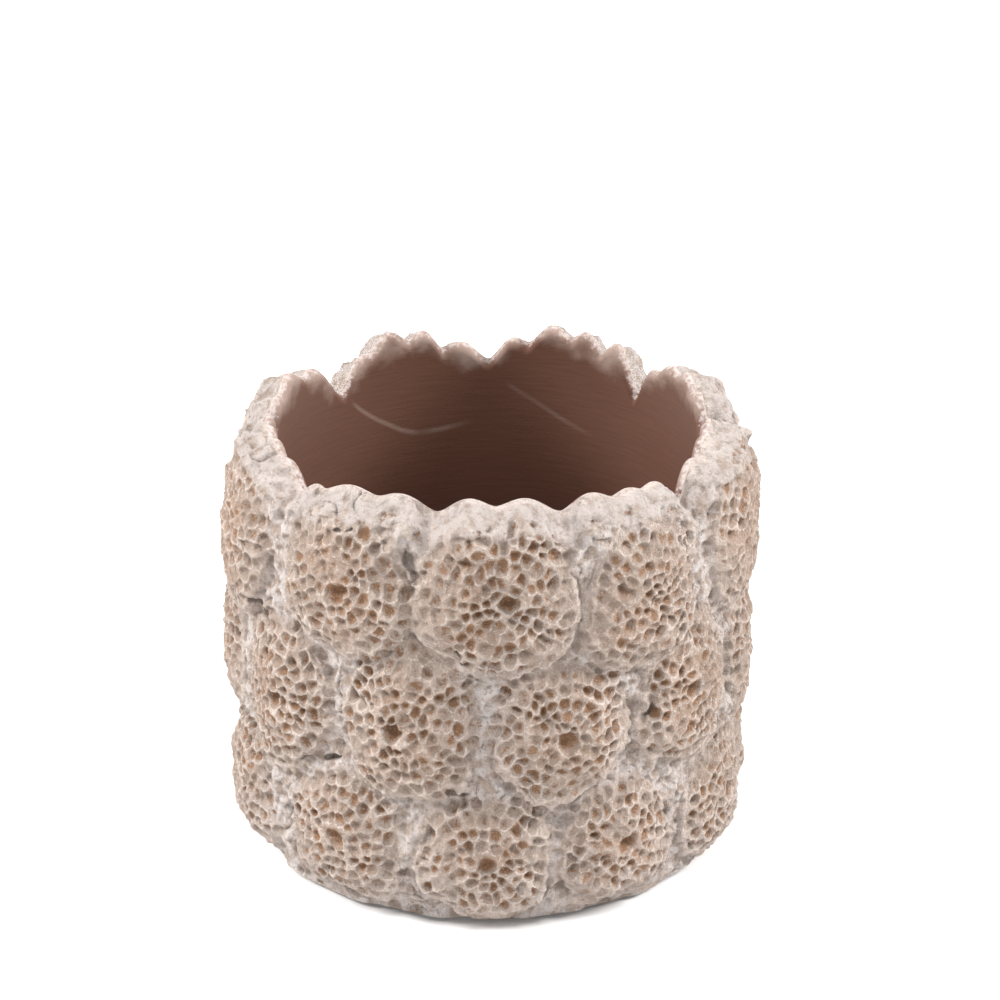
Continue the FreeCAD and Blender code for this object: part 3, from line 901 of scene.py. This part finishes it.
def rgba(colour):
    """A colour with full alpha."""
    return (*colour, 1.0)


def dress(tree, shader, colour, roughness, specular, height, strength, depth):
    """Gives a shader its colour, gloss and bump."""
    bump = add_node(tree, "ShaderNodeBump", Height=height, Strength=strength, Distance=depth)
    for key, value in (("Base Color", colour), ("Roughness", roughness),
                       ("Specular IOR Level", specular), ("Normal", bump.outputs["Normal"])):
        fill_input(tree, shader.inputs[key], value)


def coated(tree, base, *layers):
    """A colour under layers, each with its share and its colour."""
    for share, colour in layers:
        base = blend(tree, share, base, rgba(colour))
    return base


def attribute(tree, name):
    """The number stored under a name at each vertex."""
    return add_node(tree, "ShaderNodeAttribute", {"attribute_name": name}).outputs["Fac"]


def grain_group():
    """Cement grain: a fine height and a broad mottle, from a place and a scale."""
    group = bpy.data.node_groups.get("Cement grain")
    if group:
        return group
    group = bpy.data.node_groups.new("Cement grain", "ShaderNodeTree")
    group.interface.new_socket("Place", in_out="INPUT", socket_type="NodeSocketVector")
    group.interface.new_socket("Scale", in_out="INPUT", socket_type="NodeSocketFloat")
    group.interface.new_socket("Height", in_out="OUTPUT", socket_type="NodeSocketFloat")
    group.interface.new_socket("Mottle", in_out="OUTPUT", socket_type="NodeSocketFloat")
    start = group.nodes.new("NodeGroupInput")
    end = group.nodes.new("NodeGroupOutput")
    fine = add_node(group, "ShaderNodeTexNoise", Vector=start.outputs["Place"],
                    Scale=start.outputs["Scale"], Detail=6.0, Roughness=0.62)
    broad_scale = maths(group, "MULTIPLY", start.outputs["Scale"], 0.13)
    broad = add_node(group, "ShaderNodeTexNoise", Vector=start.outputs["Place"],
                     Scale=broad_scale, Detail=4.0, Roughness=0.55)
    group.links.new(fine.outputs["Fac"], end.inputs["Height"])
    group.links.new(broad.outputs["Fac"], end.inputs["Mottle"])
    return group


def place_grain(tree, place, scale):
    """The cement grain in a material."""
    node = tree.nodes.new("ShaderNodeGroup")
    node.node_tree = grain_group()
    fill_input(tree, node.inputs["Place"], place)
    fill_input(tree, node.inputs["Scale"], scale)
    return node.outputs["Height"], node.outputs["Mottle"]


# Noise scales of the grain in the materials, per metre, and of the brush marks along each axis
CEMENT_GRAIN, CEMENT_SPECK, SEALER_GRAIN, FELT_GRAIN, CRUMPLE = 800.0, 2400.0, 700.0, 1800.0, 420.0
BRUSH_MARKS = (90.0, 90.0, 900.0)


def cement_material(colours):
    """Dry cement: pale ridges, a broken brown stain in the hollows, a grey-white wash elsewhere, and
    painted shade and highlights: shade in hollows, cuts and the pits' upper sides, highlights on bumps, the
    pits' lower lips and the crest.
    """
    made = bpy.data.materials.get("Washed cement")
    if made:
        return made
    material, tree, shader = shader_tree("Washed cement")
    place = add_node(tree, "ShaderNodeTexCoord").outputs["Object"]
    fine, mottle = place_grain(tree, place, CEMENT_GRAIN)
    speck, dapple = place_grain(tree, place, CEMENT_SPECK)
    hollow_shade = attribute(tree, "hollow_shade")
    washed = maths(tree, "MULTIPLY_ADD", attribute(tree, "ground"), 0.85, 0.12)
    # Pale ridges, partly a painted highlight
    ridge_and_highlight = shaken(tree, attribute(tree, "ridge"), fine, 2.2)
    ridged = coated(
        tree, rgba(colours.body),
        (times(tree, attribute(tree, "core"), 0.45), colours.rust),
        (ramp(tree, mottle, 0.40, 0.60, 0.7), colours.shade),
        (ramp(tree, fine, 0.46, 0.62, 0.35), colours.shade),
        (times(tree, ramp(tree, dapple, 0.36, 0.60), washed), colours.wash),
        (times(tree, attribute(tree, "rim"), ramp(tree, dapple, 0.30, 0.56, 0.68)), colours.wash),
        # Painted shade in the hollows, and a painted highlight on the bumps
        (ramp(tree, hollow_shade, 0.52, 0.95, 0.6), colours.shade),
        (ramp(tree, hollow_shade, 0.45, 0.05, 0.5), colours.ridge),
        (ramp(tree, ridge_and_highlight, 0.30, 1.05, 0.8), colours.ridge))
    # The stain, which is also painted shade on the pits' upper sides
    broken = shaken(tree, shaken(tree, attribute(tree, "stain_and_shade"), dapple, 1.6), fine, 2.6)
    stain_and_shade_share = ramp(tree, broken, 0.30, 0.85, 0.85)
    stain_tone = blend(tree, ramp(tree, speck, 0.38, 0.62), rgba(colours.stain_and_shade), rgba(colours.rust))
    final = coated(
        tree, blend(tree, stain_and_shade_share, ridged, stain_tone),
        # Painted shade in the cuts
        (ramp(tree, attribute(tree, "groove_shade"), 0.30, 0.95, 0.8), colours.groove_shade),
        (ramp(tree, speck, 0.56, 0.68, 0.6), colours.ridge),
        (ramp(tree, speck, 0.46, 0.32, 0.6), colours.shade))
    gloss = maths(tree, "MULTIPLY_ADD", stain_and_shade_share, -0.52, 0.92)
    crumpled = add_node(tree, "ShaderNodeTexNoise", {"noise_type": "RIDGED_MULTIFRACTAL"}, Vector=place,
                        Scale=CRUMPLE, Detail=3.0, Roughness=0.55)
    rough = maths(tree, "MULTIPLY_ADD", speck, 0.6, fine)
    rough = maths(tree, "MULTIPLY_ADD", crumpled.outputs["Fac"], 0.35, rough)
    dress(tree, shader, final, gloss, 0.35, rough, 1.0, 0.0018)
    return material


def hairlines(tree, place):
    """How strongly the pale hairlines on the back of the well show at a place, given as separate
    coordinates. Each line's height follows x by a curve, whose range is 0 to 1 both ways."""
    across = maths(tree, "MULTIPLY_ADD", place.outputs["X"], 1.0 / (CURVE_SPAN * MM), 0.5)
    level = maths(tree, "DIVIDE", place.outputs["Z"], CURVE_SPAN * MM)
    total = 0.0
    for strength, line in HAIRLINES:
        points = [(x / CURVE_SPAN + 0.5, height / CURVE_SPAN) for x, height in line]
        curve = add_node(tree, "ShaderNodeFloatCurve", Value=across)
        handles = curve.mapping.curves[0].points
        handles[0].location = points[0]
        handles[1].location = points[-1]
        for point in points[1:-1]:
            handles.new(*point)
        curve.mapping.update()
        off = maths(tree, "ABSOLUTE", maths(tree, "SUBTRACT", curve.outputs["Value"], level))
        near = ramp(tree, off, 0.010, 0.001, strength)
        begun = ramp(tree, across, points[0][0], points[0][0] + 0.02)
        ended = ramp(tree, across, points[-1][0] - 0.08, points[-1][0])
        shown = times(tree, near, maths(tree, "SUBTRACT", begun, ended, clamp=True))
        total = maths(tree, "MAXIMUM", total, shown)
    return times(tree, total, ramp(tree, place.outputs["Y"], 0.0, 0.01))


def sealer_material(colours):
    """Matt brown sealer with fine brush lines, dusted with the pale wash below the rim, and paler along the
    crest, partly wash and partly a painted highlight.
    """
    made = bpy.data.materials.get("Brushed sealer")
    if made:
        return made
    material, tree, shader = shader_tree("Brushed sealer")
    place = add_node(tree, "ShaderNodeTexCoord").outputs["Object"]
    fine, mottle = place_grain(tree, place, SEALER_GRAIN)
    drawn = add_node(tree, "ShaderNodeMapping", Vector=place, Scale=BRUSH_MARKS)
    brushed = add_node(tree, "ShaderNodeTexNoise", Vector=drawn.outputs["Vector"],
                       Scale=1.0, Detail=3.0, Roughness=0.6).outputs["Fac"]
    split = add_node(tree, "ShaderNodeSeparateXYZ", Vector=place)
    aside = ramp(tree, maths(tree, "ABSOLUTE", split.outputs["X"]), 0.030, 0.060)
    high = ramp(tree, split.outputs["Z"], 0.090, 0.140, 0.12)
    drift = ramp(tree, shaken(tree, attribute(tree, "drift_gap"), mottle, 22.0), 7.0, -4.0, 0.75)
    # Paler along the crest: partly the wash, partly a painted highlight that meets the one on the cement
    edge = ramp(tree, shaken(tree, attribute(tree, "crest_gap"), fine, 6.0), 1.2, -0.6)
    final = coated(
        tree, blend(tree, 1.0, rgba(colours.sealer), shaken(tree, 1.0, brushed, 0.3), "MULTIPLY"),
        (maths(tree, "MULTIPLY_ADD", aside, high, drift), colours.dust),
        (times(tree, hairlines(tree, split), ramp(tree, mottle, 0.1, 0.55)), colours.dust),
        (times(tree, edge, maths(tree, "MULTIPLY_ADD", aside, 0.12, 0.48)), colours.wash))
    height = maths(tree, "MULTIPLY_ADD", fine, 0.3, brushed)
    dress(tree, shader, final, 0.8, 0.3, height, 0.25, 0.0004)
    return material


def felt_material(colours):
    """Pressed felt: short matted fibres."""
    material, tree, shader = shader_tree("Pressed felt")
    place = add_node(tree, "ShaderNodeTexCoord").outputs["Object"]
    fine = place_grain(tree, place, FELT_GRAIN)[0]
    tinted = blend(tree, 1.0, rgba(colours.felt), shaken(tree, 1.0, fine, 0.9), "MULTIPLY")
    dress(tree, shader, tinted, 0.95, 0.5, fine, 0.8, 0.0004)
    shader.inputs["Sheen Weight"].default_value = 0.4
    return material


def seen_directly(tree):
    """1 where the camera, a reflection or glass sees a surface, and 0 for the light it gives."""
    path = tree.nodes.new("ShaderNodeLightPath")
    seen = maths(tree, "MAXIMUM", path.outputs["Is Camera Ray"], path.outputs["Is Glossy Ray"])
    return maths(tree, "MAXIMUM", seen, path.outputs["Is Transmission Ray"])


# Each lamp: name, place, size and power
LAMPS = (
    ("overhead_softbox", (0.0, -0.75, 1.5), 0.5, 14.0),
    ("left_softbox", (-1.25, 0.0, 0.85), 0.5, 30.0),
    ("right_softbox", (1.25, 0.0, 0.85), 0.5, 30.0),
    ("front_softbox", (-0.4, -1.5, 0.7), 0.5, 5.5),
)


class CACHEPOT_OT_stage(bpy.types.Operator):
    """Set up the floor, the studio light and the camera"""
    bl_idname = "cachepot.stage"
    bl_label = "Stage"

    def execute(self, context):
        scene = context.scene
        stage = scene.cachepot_stage
        bpy.ops.object.select_all(action="DESELECT")
        bpy.ops.mesh.primitive_plane_add(size=12.0, location=(0.0, 0.0, 0.0))
        floor = context.object
        floor.name = "floor"
        material, _, shader = shader_tree("Pale floor")
        shader.inputs["Base Color"].default_value = (0.9, 0.9, 0.9, 1.0)
        shader.inputs["Roughness"].default_value = 0.9
        floor.data.materials.append(material)

        world = bpy.data.worlds.new("Studio")
        scene.world = world
        world.use_nodes = True
        tree = world.node_tree
        back = tree.nodes["Background"]
        back.inputs["Color"].default_value = (1.0, 1.0, 1.0, 1.0)
        strength = maths(tree, "MULTIPLY_ADD", seen_directly(tree), 1.0 - stage.fill, stage.fill)
        tree.links.new(strength, back.inputs["Strength"])

        aim = Vector((0.0, 0.0, POT_HIGH[2] / 2.0))
        for name, place, size, power in LAMPS:
            bpy.ops.object.light_add(type="AREA", location=place)
            lamp = context.object
            lamp.name = name
            lamp.data.size = size
            lamp.data.energy = power
            lamp.rotation_euler = (aim - Vector(place)).to_track_quat("-Z", "Y").to_euler()

        bpy.ops.object.camera_add(
            location=stage.camera_place,
            rotation=(math.pi / 2.0 - stage.camera_dip, 0.0, -stage.camera_swing))
        camera = context.object
        camera.name = "camera"
        camera.data.lens = stage.lens
        camera.data.sensor_width = 36.0
        scene.camera = camera
        scene.view_settings.view_transform = "Standard"
        return {"FINISHED"}


class CACHEPOT_PT_panel(bpy.types.Panel):
    """The pot's pieces and their sizes and colours"""
    bl_idname = "CACHEPOT_PT_panel"
    bl_label = "Cachepot"
    bl_space_type = "VIEW_3D"
    bl_region_type = "UI"
    bl_category = "Cachepot"

    def draw(self, context):
        for operator in OPERATORS:
            self.layout.operator(operator.bl_idname)
        for group in (context.scene.cachepot_sizes, context.scene.cachepot_colours):
            for key in group.__annotations__:
                self.layout.prop(group, key)


GROUPS = {"cachepot_sizes": PotSizes, "cachepot_colours": PotColours, "cachepot_stage": PotStage}
OPERATORS = (
    CACHEPOT_OT_relief, CACHEPOT_OT_inner_wall, CACHEPOT_OT_sealing_coat, CACHEPOT_OT_felt_pads,
    CACHEPOT_OT_stage,
)
CLASSES = (*GROUPS.values(), *OPERATORS, CACHEPOT_PT_panel)


def register():
    for item in CLASSES:
        bpy.utils.register_class(item)
    for name, group in GROUPS.items():
        setattr(bpy.types.Scene, name, bpy.props.PointerProperty(type=group))


def unregister():
    for name in GROUPS:
        delattr(bpy.types.Scene, name)
    for item in reversed(CLASSES):
        bpy.utils.unregister_class(item)


def main():
    register()
    bpy.ops.cachepot.relief()
    bpy.ops.cachepot.inner_wall()
    bpy.ops.cachepot.sealing_coat()
    bpy.ops.cachepot.felt_pads()
    bpy.ops.cachepot.stage()


if __name__ == "__main__":
    main()
